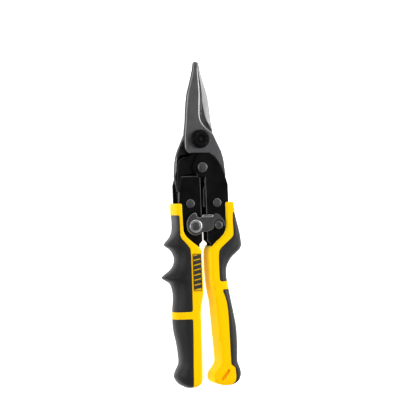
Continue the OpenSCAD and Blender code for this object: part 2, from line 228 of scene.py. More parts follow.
def joined(pieces):
    """One piece with the meshes of them all, in the material and with the name of the first."""
    points, faces = [], []
    for piece in pieces:
        start = len(points)
        points += [v.co / MM for v in piece.data.vertices]
        faces += [[start + i for i in face.vertices] for face in piece.data.polygons]
    name, material = pieces[0].name, pieces[0].data.materials[0]
    for piece in pieces:
        bpy.data.objects.remove(piece)
    return add_mesh(name, points, faces, [material])


def turned(piece):
    """Turns a piece over round the length of the snips, as the left handle is the right one turned."""
    over = Matrix.Translation((0, 0, 2 * MID * MM)) @ Matrix.Rotation(math.pi, 4, "Y")
    piece.data.transform(over)
    return piece


def shell(name, loops, sections, materials, band_materials, caps=(0, 0)):
    """A solid between loops: the first is its outline and the others are its holes.

    sections(loop_number, point_number) gives, from the bottom to the top, how far inside the loop
    and how high each of the solid's rings runs at that point. band_materials gives a material
    number for the side face above each ring, and caps gives those of the bottom and the top."""
    points, faces, indices = [], [], []
    bottoms, tops = [], []
    for number, loop in enumerate(loops):
        if (area(loop) > 0) == (number > 0):
            raise ValueError(f"{name}: loop {number} runs the wrong way")
        directions = inward(loop)
        columns = [sections(number, i) for i in range(len(loop))]
        height, count, start = len(columns[0]), len(loop), len(points)
        for column, place, direction in zip(columns, loop, directions):
            for inset, z in column:
                spot = place + direction * inset
                points.append((spot.x, spot.y, z))
        for i in range(count):
            here, after = start + i * height, start + (i + 1) % count * height
            for k in range(height - 1):
                faces.append((here + k, after + k, after + k + 1, here + k + 1))
                indices.append(band_materials(number, i, k))
        bottoms.append([start + i * height for i in range(count)])
        tops.append([start + i * height + height - 1 for i in range(count)])
    for rim, upwards, cap in ((bottoms, False, caps[0]), (tops, True, caps[1])):
        order = [i for loop in rim for i in loop]
        flat = [[Vector((points[i][0], points[i][1], 0)) for i in loop] for loop in rim]
        for triangle in tessellate_polygon(flat):
            a, b, c = [order[i] for i in triangle]
            first, second, third = [Vector(points[i]) for i in (a, b, c)]
            turn = (second - first).cross(third - first).z
            faces.append((a, b, c) if (turn > 0) == upwards else (a, c, b))
            indices.append(cap)
    return add_mesh(name, points, faces, materials, indices)


def plate(name, outline, low, high, material, holes=(), edge=0.3, edge_material=None):
    """A flat plate with rounded edges, which may have a material of their own."""
    loops = [outline if area(outline) > 0 else outline[::-1]]
    loops += [hole if area(hole) < 0 else hole[::-1] for hole in holes]
    steps = [math.pi / 2 * k / 3 for k in range(4)]
    column = [(edge * (1 - math.sin(a)), low + edge - edge * math.cos(a)) for a in steps]
    column += [(edge * (1 - math.cos(a)), high - edge + edge * math.sin(a)) for a in steps]
    materials = [material, edge_material or material]

    def finish(number, i, k):
        return 0 if k == len(steps) - 1 else 1

    return shell(name, loops, lambda number, i: column, materials, finish)


def add_fan(points, faces, middle, ring, flipped):
    """Closes a ring of points with triangles round a new point in its middle."""
    points.append(middle)
    for a, b in zip(ring, ring[1:] + ring[:1]):
        faces.append((len(points) - 1, b, a) if flipped else (len(points) - 1, a, b))


def lathe(name, profile, centre, material, count=96, wobble=None):
    """A turned solid: the profile's points are [radius, height], from its bottom to its top.

    A profile that starts and ends at radius 0 makes a closed solid, and any other one is a ring
    that closes on itself. wobble(angle) scales the radius."""
    solid = profile[0][0] == 0
    body = profile[1:-1] if solid else profile
    rows = len(body)
    points, faces = [], []
    for i in range(count):
        a = math.tau * i / count
        scale = wobble(a) if wobble else 1
        for r, z in body:
            reach = r * scale
            points.append((centre[0] + reach * math.cos(a), centre[1] + reach * math.sin(a), z))
    for i in range(count):
        here, after = i * rows, (i + 1) % count * rows
        for k in range(rows - 1 if solid else rows):
            up = (k + 1) % rows
            faces.append((here + k, after + k, after + up, here + up))
    if solid:
        for row, z in ((0, profile[0][1]), (rows - 1, profile[-1][1])):
            ring = [i * rows + row for i in range(count)]
            add_fan(points, faces, (*centre, z), ring, row == 0)
    return add_mesh(name, points, faces, [material])


def tube(name, path, radius, material):
    """A round bar along the path, closed at both ends, whose rings never twist about Z."""
    last, sides = len(path) - 1, 14
    points, faces = [], []
    for i, place in enumerate(path):
        along = (path[min(i + 1, last)] - path[max(i - 1, 0)]).normalized()
        side = Vector((0, 0, 1)).cross(along).normalized()
        up = along.cross(side)
        for k in range(sides):
            a = math.tau * k / sides
            points.append(place + (side * math.cos(a) + up * math.sin(a)) * radius)
    for i in range(last):
        for k in range(sides):
            near, far = i * sides, (i + 1) * sides
            faces.append((near + k, near + (k + 1) % sides, far + (k + 1) % sides, far + k))
    faces.append(tuple(reversed(range(sides))))
    faces.append(tuple(range(last * sides, (last + 1) * sides)))
    return add_mesh(name, points, faces, [material])


def loft(name, rings, material):
    """A solid through rings of equal length, closed by a fan at each end."""
    count, last = len(rings[0]), len(rings) - 1
    points = [p for ring in rings for p in ring]
    faces = []
    for k in range(last):
        for i in range(count):
            a, b = k * count + i, k * count + (i + 1) % count
            faces.append((a, b, b + count, a + count))
    for row in (0, last):
        middle = sum((Vector(p) for p in rings[row]), Vector((0, 0, 0))) / count
        ring = [row * count + i for i in range(count)]
        add_fan(points, faces, middle, ring, row == 0)
    return add_mesh(name, points, faces, [material])


def stands_for(piece, body, node):
    """The piece moves with the body and takes the place of the CAD node."""
    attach(piece, body)
    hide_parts(node)


# ---- materials


class Paint:
    """A Principled material with helpers for the textures that feed it."""

    def __init__(self, name, **sockets):
        self.material = bpy.data.materials.new(name)
        self.material.use_nodes = True
        self.nodes = self.material.node_tree.nodes
        self.links = self.material.node_tree.links
        self.shader = self.nodes["Principled BSDF"]
        for socket, value in sockets.items():
            self.shader.inputs[socket.replace("_", " ")].default_value = value
        self.place = self.nodes.new("ShaderNodeTexCoord").outputs["Object"]
        self.normal = None

    def texture(self, kind, size, stretch):
        """A texture of the kind with features of about size millimetres."""
        mapping = self.nodes.new("ShaderNodeMapping")
        mapping.inputs["Scale"].default_value = [1 / (size * MM * s) for s in stretch]
        self.links.new(self.place, mapping.inputs["Vector"])
        texture = self.nodes.new(kind)
        texture.inputs["Scale"].default_value = 1.0
        self.links.new(mapping.outputs["Vector"], texture.inputs["Vector"])
        return texture

    def noise(self, size, detail, stretch=(1, 1, 1)):
        """Noise that is drawn out along the larger stretches."""
        texture = self.texture("ShaderNodeTexNoise", size, stretch)
        texture.inputs["Detail"].default_value = detail
        return texture.outputs["Fac"]

    def cells(self, size):
        """Rounded pebbles."""
        return self.texture("ShaderNodeTexVoronoi", size, (1, 1, 1)).outputs["Distance"]

    def spread(self, value, low, high, start=0.3, stop=0.7):
        """The value between start and stop, mapped to low to high."""
        node = self.nodes.new("ShaderNodeMapRange")
        names = ("From Min", "From Max", "To Min", "To Max")
        for name, number in zip(names, (start, stop, low, high)):
            node.inputs[name].default_value = number
        self.links.new(value, node.inputs["Value"])
        return node.outputs["Result"]

    def blend(self, value, first, second):
        """A colour between first and second. Either may be the output of another node."""
        node = self.nodes.new("ShaderNodeMix")
        node.data_type = "RGBA"
        self.links.new(value, node.inputs["Factor"])
        sockets = [socket for socket in node.inputs if socket.type == "RGBA"]
        for socket, colour in zip(sockets, (first, second)):
            if isinstance(colour, bpy.types.NodeSocket):
                self.links.new(colour, socket)
            else:
                socket.default_value = (*colour, 1)
        return next(socket for socket in node.outputs if socket.type == "RGBA")

    def clouds(self, value, first, second):
        """Patches of the first colour in the second."""
        return self.blend(self.spread(value, 0, 1), first, second)

    def colour(self, value):
        self.links.new(value, self.shader.inputs["Base Color"])

    def roughness(self, value):
        self.links.new(value, self.shader.inputs["Roughness"])

    def coat(self, size, detail, first, second, rough):
        """Clouds of two colours, with a roughness that follows them."""
        value = self.noise(size, detail)
        base = self.clouds(value, first, second)
        self.colour(base)
        self.roughness(self.spread(value, *rough))
        return value, base

    def wear(self, base, bright, low=0.53, high=0.6):
        """The base colour, which turns bright on outer edges as Pointiness goes from low to high."""
        pointiness = self.nodes.new("ShaderNodeNewGeometry").outputs["Pointiness"]
        self.colour(self.blend(self.spread(pointiness, 0, 1, low, high), base, bright))

    def bump(self, height, depth):
        """Raises the surface by up to depth millimetres where height is 1."""
        node = self.nodes.new("ShaderNodeBump")
        node.inputs["Distance"].default_value = depth * MM
        self.links.new(height, node.inputs["Height"])
        if self.normal:
            self.links.new(self.normal, node.inputs["Normal"])
        self.normal = node.outputs["Normal"]
        self.links.new(self.normal, self.shader.inputs["Normal"])


def grey(level, blue=None):
    """A grey, whose blue may differ a little."""
    return level, level, blue or level


def steel(name, dark, light, rough, grain=(1, 14, 1), grain_size=0.35, depth=0.012):
    """Satin steel with a grain drawn out along one axis, faint blotches and worn edges."""
    paint = Paint(name, Metallic=1.0)
    blotches = paint.noise(9, 4)
    lines = paint.noise(grain_size, 2, grain)
    base = paint.clouds(blotches, dark, light)
    streaks = paint.blend(paint.spread(lines, 0, 0.35), base, light)
    paint.wear(streaks, [min(1, 1.6 * c) for c in light])
    paint.roughness(paint.spread(lines, *rough))
    paint.bump(lines, depth)
    return paint.material


def powder_coat_material():
    """Black powder coat with a slight orange peel."""
    paint = Paint("black_powder_coat", Specular_IOR_Level=0.05)
    paint.coat(12, 4, grey(0.0016, 0.0018), grey(0.0034, 0.0036), (0.3, 0.42))
    paint.bump(paint.noise(0.9, 2), 0.02)
    paint.bump(paint.cells(0.25), 0.006)
    return paint.material


def edge_highlight_material():
    """A lighter, glossier coat on chosen bends and edges: a painted highlight."""
    paint = Paint("coat_edge_painted_highlight", Metallic=0.2, Specular_IOR_Level=0.45)
    paint.coat(9, 2, grey(0.006, 0.0065), grey(0.06, 0.062), (0.3, 0.4))
    paint.bump(paint.noise(0.5, 3), 0.01)
    return paint.material


def black_oxide_material():
    """Black oxide on turned steel, slightly worn at its edges."""
    paint = Paint("black_oxide", Specular_IOR_Level=0.04)
    _, base = paint.coat(4, 4, grey(0.001, 0.0012), grey(0.0022, 0.0025), (0.34, 0.5))
    paint.wear(base, grey(0.02, 0.021), 0.53, 0.62)
    paint.bump(paint.noise(0.3, 3), 0.008)
    return paint.material


def rivet_material():
    """Tumbled steel, bright on the rims of the hammered heads."""
    paint = Paint("tumbled_rivet_steel", Metallic=1.0)
    spots, base = paint.coat(1.3, 4, grey(0.045, 0.047), grey(0.075, 0.077), (0.34, 0.5))
    paint.wear(base, grey(0.24), 0.52, 0.6)
    paint.bump(spots, 0.05)
    paint.bump(paint.noise(0.25, 3), 0.01)
    return paint.material


def latch_material():
    """Dark tumbled steel with broad, faint patches."""
    paint = Paint("tumbled_latch_steel", Metallic=0.45)
    spots, _ = paint.coat(3, 4, grey(0.022, 0.023), grey(0.033, 0.034), (0.4, 0.52))
    paint.bump(spots, 0.015)
    paint.bump(paint.noise(0.3, 3), 0.01)
    return paint.material


def yellow_material(name, colour, other_colour):
    """Moulded nylon: even in colour, with a fine satin texture."""
    paint = Paint(name, Specular_IOR_Level=0.03)
    paint.colour(paint.clouds(paint.noise(22, 3), colour, other_colour))
    paint.roughness(paint.spread(paint.noise(5, 3), 0.42, 0.52))
    paint.bump(paint.noise(0.35, 3), 0.012)
    paint.bump(paint.noise(2.5, 2), 0.02)
    return paint.material


def rubber_material():
    """Over-moulded elastomer: dark grey and satin, a little lighter where it is handled."""
    paint = Paint("over_moulded_grey", Specular_IOR_Level=0.25, Sheen_Weight=0.03, Sheen_Roughness=0.5)
    base = paint.clouds(paint.noise(16, 4), grey(0.002, 0.0022), grey(0.0038, 0.0042))
    paint.wear(base, grey(0.015, 0.016), 0.5, 0.62)
    paint.roughness(paint.spread(paint.noise(6, 3), 0.4, 0.5))
    paint.bump(paint.cells(0.45), 0.02)
    paint.bump(paint.noise(3, 2), 0.03)
    return paint.material


def ink_material():
    """Warm black print."""
    paint = Paint("printed_black", Specular_IOR_Level=0.3)
    paint.coat(2, 3, (0.012, 0.01, 0.008), (0.022, 0.019, 0.014), (0.45, 0.6))
    return paint.material


def floor_material():
    """A pale lit table, which keeps the shadows between the grips light."""
    glow = {"Emission_Strength": 0.9, "Emission_Color": (1, 1, 1, 1)}
    paint = Paint("pale_floor", Specular_IOR_Level=0.2, **glow)
    paint.coat(300, 2, grey(0.93), grey(0.95), (0.7, 0.8))
    return paint.material


# How a steel's grain is drawn out along X, Y and Z.
EVEN, UPRIGHT = (1, 1, 1), (1, 1, 6)
ACROSS, FAR_ACROSS = (6, 1, 1), (10, 1, 1)
ALONG, FAR_ALONG = (1, 4, 1), (1, 8, 1)
JAW_FACE = steel("forged_satin", grey(0.08, 0.083), grey(0.106, 0.109), (0.36, 0.48))
JAW_GROUND = steel("ground_bright", grey(0.13), grey(0.18, 0.178), (0.42, 0.54), FAR_ACROSS, 0.25, 0.008)
# Ground steel on the crests and the neck's edges, made brighter than the face as a painted highlight.
JAW_EDGE_HIGHLIGHT = steel("ground_edge_highlight", grey(0.13, 0.133), grey(0.2), (0.32, 0.44), FAR_ALONG, 0.3, 0.01)
# A near-black copy of the steel: painted shade on the jaws' side walls, the steeper bevels and the heel.
JAW_SIDE_SHADE = steel("side_painted_shade", grey(0.008, 0.0085), grey(0.016, 0.0165), (0.45, 0.6), ALONG, 0.5, 0.02)
# A dark copy of the steel: painted shade on the shear face, the reliefs and the bevel down to the
# cutting edge.
JAW_SHEAR_SHADE = steel("shear_face_painted_shade", grey(0.017, 0.0175), grey(0.026, 0.0265), (0.38, 0.5), ACROSS, 0.4, 0.01)
# Brighter steel on the latch plate's rounded edges: a painted highlight.
LATCH_EDGE_HIGHLIGHT = steel("latch_edge_highlight", grey(0.16), grey(0.26, 0.255), (0.34, 0.46), EVEN, 0.6, 0.01)
# Bright plated steel for the latch washer, also used as a painted highlight on the latch fold's rounded
# edges.
PLATING_AND_HIGHLIGHT_STEEL = steel("plated_and_painted_highlight", grey(0.5, 0.49), grey(0.62, 0.61), (0.26, 0.34), EVEN, 0.5, 0.004)
ZINC_STEEL = steel("zinc_plated", grey(0.42, 0.41), grey(0.55, 0.53), (0.3, 0.42), UPRIGHT, 0.4, 0.01)
SPRING_STEEL = steel("spring_wire", grey(0.3, 0.31), grey(0.42, 0.43), (0.24, 0.34), EVEN, 0.3, 0.006)
BLACK_FRAME = powder_coat_material()
FRAME_EDGE_HIGHLIGHT = edge_highlight_material()
BLACK_HARDWARE = black_oxide_material()
RIVET_STEEL = rivet_material()
LATCH_STEEL = latch_material()
YELLOW_PLASTIC = yellow_material("moulded_yellow", (0.8, 0.44, 0.0), (0.78, 0.46, 0.0))
# A lighter yellow painted onto the grips' inner walls to lift their shade.
YELLOW_PAINTED_LIGHT = yellow_material("moulded_yellow_painted_light", (0.87, 0.58, 0.01), (0.85, 0.6, 0.01))
# A darker orange for the slot's walls: painted shade.
YELLOW_PAINTED_SHADE = yellow_material("moulded_yellow_painted_shade", (0.8, 0.33, 0.0), (0.8, 0.36, 0.0))
GREY_RUBBER = rubber_material()
INK = ink_material()


# ---- jaws

BLADE_BACK = [
    (-1.2, 60.6), (-2.7, 59.4), (-4.4, 51.5), (-6.6, 43.5), (-9, 34.5), (-10.4, 24),
    (-11.2, 14), (-12.1, 5), (-12.5, -4.7), (-11.8, -8.4), (-9.4, -11.2),
]
HEEL = [(6.9, -11.2), (10.4, -14.5), (12, -20), (12.5, -29)]
NECK = [(20.1, -29), (19.6, -24), (18.9, -17), (17.2, -10.2), (15, -5.3), (12.9, -0.7), (11.3, 2.8)]
CUTTING_EDGE = [
    (9.4, 6.2), (7, 9.3), (4.4, 13.4), (3.1, 17.4), (3.2, 24), (3.4, 34), (2.7, 42.5),
    (1.5, 50.3), (0.3, 59.2),
]
TAIL = [
    (-7.4, -10), (-6.8, -12.4), (6.9, -12.7), (6.8, -22), (5, -32), (2.2, -40), (1.8, -53),
    (6.6, -55.8), (15.2, -55.8), (17.8, -50.3), (18.5, -42), (19.6, -34), (20.1, -29), (16, -12),
]
JAW_LOW, JAW_HIGH, TAIL_HIGH = 0.02, 5.0, 4.2
# Widths of the ground bevels and of the relieved back against Y.
EDGE_BEVEL = [
    [-12, 0.4], [2, 0.5], [6, 1.5], [11, 2.9], [17, 3.4], [26, 3.4], [36, 3.0], [45, 2.4],
    [53, 1.5], [60.6, 0.5],
]
BACK_BEVEL = [[-12, 0.7], [0, 0.8], [14, 0.9], [40, 1.0], [54, 0.7], [60.6, 0.4]]
RELIEF = [[4, 0.2], [11.5, 2.2], [17, 4.2], [28, 5.2], [38, 4.7], [47, 3.8], [56, 2.2], [60.6, 0.5]]
NECK_RELIEF = [[-30, 0.7], [-16, 0.6], [-12, 0.15], [4, 0.1]]
CREST = 0.9
RELIEF_DROP = 1.3
TOOTH = 1.2
TOOTH_DEPTH = 0.14
TEETH_START = 14
FACE, GROUND, SIDE_SHADE, RIM_HIGHLIGHT, SHEAR_SHADE = range(5)


def jaw_section(kind, y):
    """The points up a side of the blade: how far inside the outline each is, and how high."""
    relief, drop, bevel, fall, crest, dip, tooth = 0.15, 0.15, 0.2, 0.35, 0.15, 0.07, 0
    if kind == "hole":
        relief, drop, bevel, fall, crest, dip = 0.2, 0.2, 0.1, 0.15, 0.1, 0.05
    elif kind == "back":
        width = table_value(BACK_BEVEL, y)
        bevel, fall, crest, dip = 0.25 * width, 0.95 * width, 0.75 * width, 0.66 * width
        if y > RELIEF[0][0]:
            relief = table_value(RELIEF, y)
            drop = RELIEF_DROP * min(1, relief / 2.2)
    elif kind == "edge":
        width = table_value(EDGE_BEVEL, y)
        crest = min(CREST, 0.45 * width)
        bevel, fall, dip = width - crest, min(0.55 * width, 1.9), 0.45 * crest
        if y > TEETH_START:
            tooth = TOOTH_DEPTH * abs(2 * ((y / TOOTH) % 1) - 1)
    elif kind == "neck":
        relief = drop = table_value(NECK_RELIEF, y)
        bevel, fall, crest, dip = 0.3, 0.5, 0.2, 0.1
    top = tooth + bevel + crest
    corners = [(relief, JAW_LOW), (tooth, JAW_LOW + drop), (tooth, JAW_HIGH - fall)]
    corners += [(tooth + bevel, JAW_HIGH - dip), (top, JAW_HIGH), (top + 0.4, JAW_HIGH)]
    return [tuple(p) for p in fillet(corners, 0.08, 2, closed=False)]


def jaw_finish(kind, y, k):
    """A side face's material, where k counts the 13 faces up a section from the relief. Walls, steep
    bevels, the heel and the shear face get painted shade; the other crests and the neck's edges get a
    painted highlight.
    """
    if kind == "hole" or k > 10:
        return FACE
    if k < 2:
        if kind == "back" and y > 6:
            return GROUND
        return RIM_HIGHLIGHT if kind == "neck" else SHEAR_SHADE
    if k < 5:
        return SIDE_SHADE
    if k < 8:
        return {"edge": SHEAR_SHADE, "neck": RIM_HIGHLIGHT}.get(kind, SIDE_SHADE)
    return SIDE_SHADE if kind == "heel" else RIM_HIGHLIGHT


def jaw(name, pivot_hole, tail_hole):
    """The front jaw: a flat bar with ground bevels, a relieved back and a toothed cutting edge."""
    outline, kinds = [], []
    sides = {"back": BLADE_BACK, "heel": HEEL, "neck": NECK, "edge": CUTTING_EDGE}
    for kind, points in sides.items():
        points = respaced(smooth(points), TOOTH / 4 if kind == "edge" else 0.7)
        outline += points
        kinds += [kind] * len(points)

    def place(number, i):
        return ("hole", 0) if number else (kinds[i], outline[i].y)

    blade = shell(
        name,
        [outline, circle((0, 0), pivot_hole)[::-1]],
        lambda number, i: jaw_section(*place(number, i)),
        [JAW_FACE, JAW_GROUND, JAW_SIDE_SHADE, JAW_EDGE_HIGHLIGHT, JAW_SHEAR_SHADE],
        lambda number, i, k: jaw_finish(*place(number, i), k),
        caps=(SHEAR_SHADE, FACE),
    )
    holes = [circle(RIGHT_TAIL_RIVET, tail_hole)]
    # The tail is drawn in the black coat: painted shade where it shows in the gap between the frames.
    tail = plate("tail", fillet(TAIL, 1.0, 5), JAW_LOW, TAIL_HIGH, BLACK_FRAME, holes)
    boolean(blade, tail, "UNION")
    blade.data.transform(Matrix.Translation((0, 0, MID * MM)))
    return blade


def make_jaws():
    """The rear jaw is the front one turned over; the front jaw's tail slides on its rivet."""
    front = jaw("front_jaw_ground", 4.05, 2.77)
    rear = turned(jaw("rear_jaw_ground", 4.0, 2.55))
    for piece, body in ((front, "front_jaw"), (rear, "rear_jaw")):
        stands_for(shaded(piece, 24), body, body)


# ---- turned parts


def turned_part(node, finish, profile, centre, material, body, count=64, wobble=None):
    """A lathe piece, named after its finish, in the place of its CAD node."""
    piece = lathe(f"{node}_{finish}", profile, centre, material, count, wobble)
    stands_for(shaded(piece, 30), body, node)


def make_nut():
    """The round lock nut: a wide flange, and a crown with a shallow ring cut into its top."""
    flange, crown, low = 7.2, 5.7, MID + 6
    top, ring = low + 4.4, low + 4.15
    profile = [
        (PIVOT_BORE, low), (flange - 0.2, low), (flange, low + 0.2), (flange, low + 1.15),
        (flange - 0.15, low + 1.4), (crown + 0.35, low + 2.15), (crown + 0.05, low + 2.35),
        (crown, low + 2.6), (crown, low + 3.9), (crown - 0.12, low + 4.2), (crown - 0.45, top),
        (5.0, top), (4.9, ring), (4.6, ring), (4.5, top), (4.3, top), (PIVOT_BORE, ring),
    ]
    turned_part("pivot_nut", "turned", profile, (0, 0), BLACK_HARDWARE, "rear_jaw", 96)


def make_bolt():
    """The pivot bolt: a low round head with a hexagonal drive, and a socket in its far end."""
    shank, shoulder, tip = 4.0, 18.6, 20.2
    profile = [
        (0, 0.0), (6.1, 0.0), (6.5, 0.15), (6.6, 0.5), (6.6, 2.6), (6.3, 3.2), (5.7, 3.9),
        (5.5, 4.0), (shank, 4.0), (shank, shoulder), (0, shoulder),
    ]
    bolt = lathe("pivot_bolt_turned", profile, (0, 0), BLACK_HARDWARE)
    socket = fillet(arc((0, 0), 2.1, [math.tau * (k + 0.5) / 6 for k in range(6)]), 0.15, 2)
    end = plate("end", circle((0, 0), shank, 96), shoulder, tip, BLACK_HARDWARE, [socket], 0.35)
    bolt = joined([bolt, end])
    drive = fillet(circle((0, 0), 2.6, 6), 0.2, 2)
    boolean(bolt, plate("drive", drive, -0.6, 2.0, BLACK_HARDWARE, edge=0.1), "DIFFERENCE")
    stands_for(shaded(bolt, 28), "rear_jaw", "pivot_bolt")


def make_pivot_washers():
    for node, low, high, radius in (
        ("rear_pivot_washer", MID - 6, MID - 5, 7.2),
        ("front_pivot_washer", MID + 5.03, MID + 6, 7.3),
    ):
        profile = [
            (PIVOT_BORE, low), (radius - 0.15, low), (radius, low + 0.15), (radius, high - 0.15),
            (radius - 0.15, high), (PIVOT_BORE, high),
        ]
        turned_part(node, "turned", profile, (0, 0), BLACK_HARDWARE, "rear_jaw", 96)


def uneven(seed):
    """A factor for the radius of a hammered head, which is never quite round."""
    return lambda a: 1 + 0.012 * math.sin(3 * a + seed) + 0.01 * math.sin(7 * a + 2.3 * seed) - 0.008


def head(radius, height, low, up=1):
    """A peened head's profile from its rim to its middle."""
    shape = [
        (1.0, 0.0), (1.0, 0.42), (0.985, 0.6), (0.93, 0.8), (0.84, 0.92), (0.7, 0.985), (0.5, 1.0),
        (0.25, 1.0),
    ]
    return [(radius * r, low + up * height * z) for r, z in shape]


def rivet(node, centre, shank, radius, height, body, seed):
    """A rivet through both frames, peened over at both ends."""
    low, high = MID - FRAME_OUTER, MID + FRAME_OUTER
    bottom, top = head(radius, height, low, -1)[::-1], head(radius, height, high)
    profile = [(0, low - height), *bottom, (shank, low), (shank, high), *top, (0, high + height)]
    turned_part(node, "peened", profile, centre, RIVET_STEEL, body, wobble=uneven(seed))


def make_rivets():
    rivet("handle_rivet", HANDLE_RIVET, 3.0, 4.0, 1.4, "left_handle", 0.4)
    rivet("left_tail_rivet", LEFT_TAIL_RIVET, 2.5, 3.5, 1.2, "left_handle", 1.7)
    rivet("right_tail_rivet", RIGHT_TAIL_RIVET, 2.5, 3.5, 1.2, "right_handle", 2.9)


# ---- spring and the small parts


def make_spring():
    """A coil round the handle rivet, with a straight leg down each handle."""
    coil_r, wire_r, turns, leg_z = 4.7, 0.6, 5, 3.1
    leg_end, leg_steps = (6.4, -49), 24
    count = 40 * turns + 22
    x, y = HANDLE_RIVET
    path = [Vector((-leg_end[0], leg_end[1], MID + leg_z))]
    for i in range(count + 1):
        t = i / count
        a = math.radians(190 - (360 * turns + 200) * t)
        z = MID + (1 - 2 * t) * leg_z
        path.append(Vector((x + coil_r * math.cos(a), y + coil_r * math.sin(a), z)))
    path.append(Vector((*leg_end, MID - leg_z)))
    leg = [path[0].lerp(path[1], k / leg_steps) for k in range(leg_steps)]
    other = [path[-2].lerp(path[-1], k / leg_steps) for k in range(1, leg_steps + 1)]
    wire = tube("return_spring_wire", leg + path[1:-1] + other, wire_r, SPRING_STEEL)
    spring = shaded(wire, 50, False)
    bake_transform(spring)
    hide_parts("return_spring")


def make_small_parts():
    """The hidden bush, spacers and washers keep the CAD model's shapes."""
    sides = [f"{side}_tail_{part}" for side in ("left", "right") for part in ("spacer", "washer")]
    for node in ["spring_bush", *sides, "latch_spacer"]:
        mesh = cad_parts[node].data
        mesh.materials.clear()
        mesh.materials.append(ZINC_STEEL)


# ---- handle frames

WIDEST_EDGE = 1.0
SHARP = math.radians(35)
INNER_EDGE = 3.5  # the frames' inner edges are nearer than this to the middle line


def edge_width(place):
    """Wide along the bend down the outside of each frame, and narrow elsewhere."""
    outside = abs(place.x) > 13.5 or (abs(place.x) > 9.5 and place.y > -17)
    if outside and place.y > -60 and abs(place.z - MID) > 5.9:
        return WIDEST_EDGE
    inner = abs(place.x) < INNER_EDGE and place.y < -26
    joggle = abs(place.y + 29) < 2
    return 0.5 if inner or joggle else 0.3


def gets_edge_highlight(place):
    """Where the bevels get the painted highlight: the finger-side bend, the inner edges and the joggle.
    """
    bend = place.x < -15.5 and -52 < place.y < -36
    inner = abs(place.x) < INNER_EDGE and -84 < place.y < -31
    joggle = -31.5 < place.y < -27.5 and place.x < -3.5
    return place.z > MID + 6.9 and (bend or inner or joggle)


def frame_copy(node):
    """A copy of a frame's CAD mesh, with its seams welded and its flat faces made whole."""
    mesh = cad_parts[node].data.copy()
    mesh.materials.clear()
    mesh.materials.append(BLACK_FRAME)
    mesh.materials.append(FRAME_EDGE_HIGHLIGHT)
    for face in mesh.polygons:
        face.material_index = 0
    piece = bpy.data.objects.new(node + "_finished", mesh)
    bpy.context.scene.collection.objects.link(piece)
    weld = piece.modifiers.new("weld", "WELD")
    weld.merge_threshold = 0.2 * MM
    flat = piece.modifiers.new("flat", "DECIMATE")
    flat.decimate_type = "DISSOLVE"
    flat.angle_limit = math.radians(1)
    bake(piece)
    return piece


def weigh_edges(mesh):
    """Gives each sharp edge its share of the widest bevel."""
    sides = {}
    for face in mesh.polygons:
        for key in face.edge_keys:
            sides.setdefault(key, []).append(face.normal)
    weights = mesh.attributes.new("bevel_weight_edge", "FLOAT", "EDGE")
    for edge in mesh.edges:
        normals = sides.get(edge.key, [])
        if len(normals) == 2 and normals[0].angle(normals[1], 0) >= SHARP:
            start, stop = [mesh.vertices[i].co for i in edge.vertices]
            weights.data[edge.index].value = edge_width((start + stop) / 2 / MM) / WIDEST_EDGE


def make_frame(side):
    """A pressed frame with rounded edges, some of them with a painted highlight."""
    node = f"{side}_frame"
    piece = frame_copy(node)
    weigh_edges(piece.data)
    bevel = piece.modifiers.new("edges", "BEVEL")
    bevel.width = WIDEST_EDGE * MM
    bevel.segments = 3
    bevel.material = 1
    bevel.limit_method = "WEIGHT"
    bevel.use_clamp_overlap = False
    bake(piece)
    # Only the chosen bevels keep the painted highlight; the rest take the plain coat.
    for face in piece.data.polygons:
        if face.material_index == 1 and not gets_edge_highlight(face.center / MM):
            face.material_index = 0
    stands_for(shaded(piece, 32), f"{side}_handle", node)


# ---- latch

LATCH_LOW, LATCH_HIGH, FOLD_HIGH = 19.6, 21.1, 22.5
LATCH_BORE = 2.65
HOOK_RADIUS = 3.9
TAB = [
    (-15.1, -68), (-15, -64.4), (-13, -60.6), (-10.4, -58.3), (-8, -57.6), (-7.1, -58.4),
    (-6.7, -60.4),
]
ARM = [
    (-5.6, -61.4), (-3.4, -61.2), (-2.6, -59.9), (-1.6, -59.5), (2, -59.4), (5.2, -59.5),
    (6.4, -60), (7.4, -59), (9, -58.6), (11.4, -59.6), (13.6, -62), (15.3, -64.3), (16, -67),
    (15.7, -69.3),
]
BELLY = [
    (7, -69.2), (5.2, -70.9), (1.8, -72.3), (-1.8, -72.7), (-4.4, -74), (-8, -75.1), (-11.5, -74.2),
    (-14.2, -71.6),
]
FOLD = [(-2.9, -61.2), (5.9, -61.3), (6.2, -59.9), (5.4, -59.5), (-1.8, -59.4), (-2.7, -60)]
HOOK_START = 6.5  # beyond this the hook's edges get no painted highlight and stay as dark as its face


def make_latch():
    """The latch plate: a round tab, an arm with a fold along its top, and a hook round the stud."""
    hook = arc(CATCH_STUD, HOOK_RADIUS, [math.radians(-16 + 14 * k) for k in range(14)])
    outline = smooth(TAB) + smooth(ARM) + hook + smooth(BELLY)
    outline = fillet(respaced(outline, 0.5), 0.2, 1)
    hole = circle(LATCH_RIVET, LATCH_BORE)
    latch = plate("latch_plate", outline, LATCH_LOW, LATCH_HIGH, LATCH_STEEL, [hole], 0.3, LATCH_EDGE_HIGHLIGHT)
    for face in latch.data.polygons:
        if face.center.x > HOOK_START * MM:
            face.material_index = 0
    fold, low = fillet(FOLD, 0.5, 3), LATCH_HIGH - 0.6
    # The fold's rounded edges take the bright steel as a painted highlight.
    fold = plate("fold", fold, low, FOLD_HIGH, LATCH_STEEL, (), 0.4, PLATING_AND_HIGHLIGHT_STEEL)
    boolean(latch, fold, "UNION")
    boss = [(5.1, 21.0), (6.2, 21.0), (6.15, 21.3), (5.9, 21.42), (5.35, 21.42), (5.1, 21.3)]
    boolean(latch, lathe("boss", boss, LATCH_RIVET, LATCH_STEEL, 72), "UNION")
    stands_for(shaded(latch, 30), "latch", "latch")


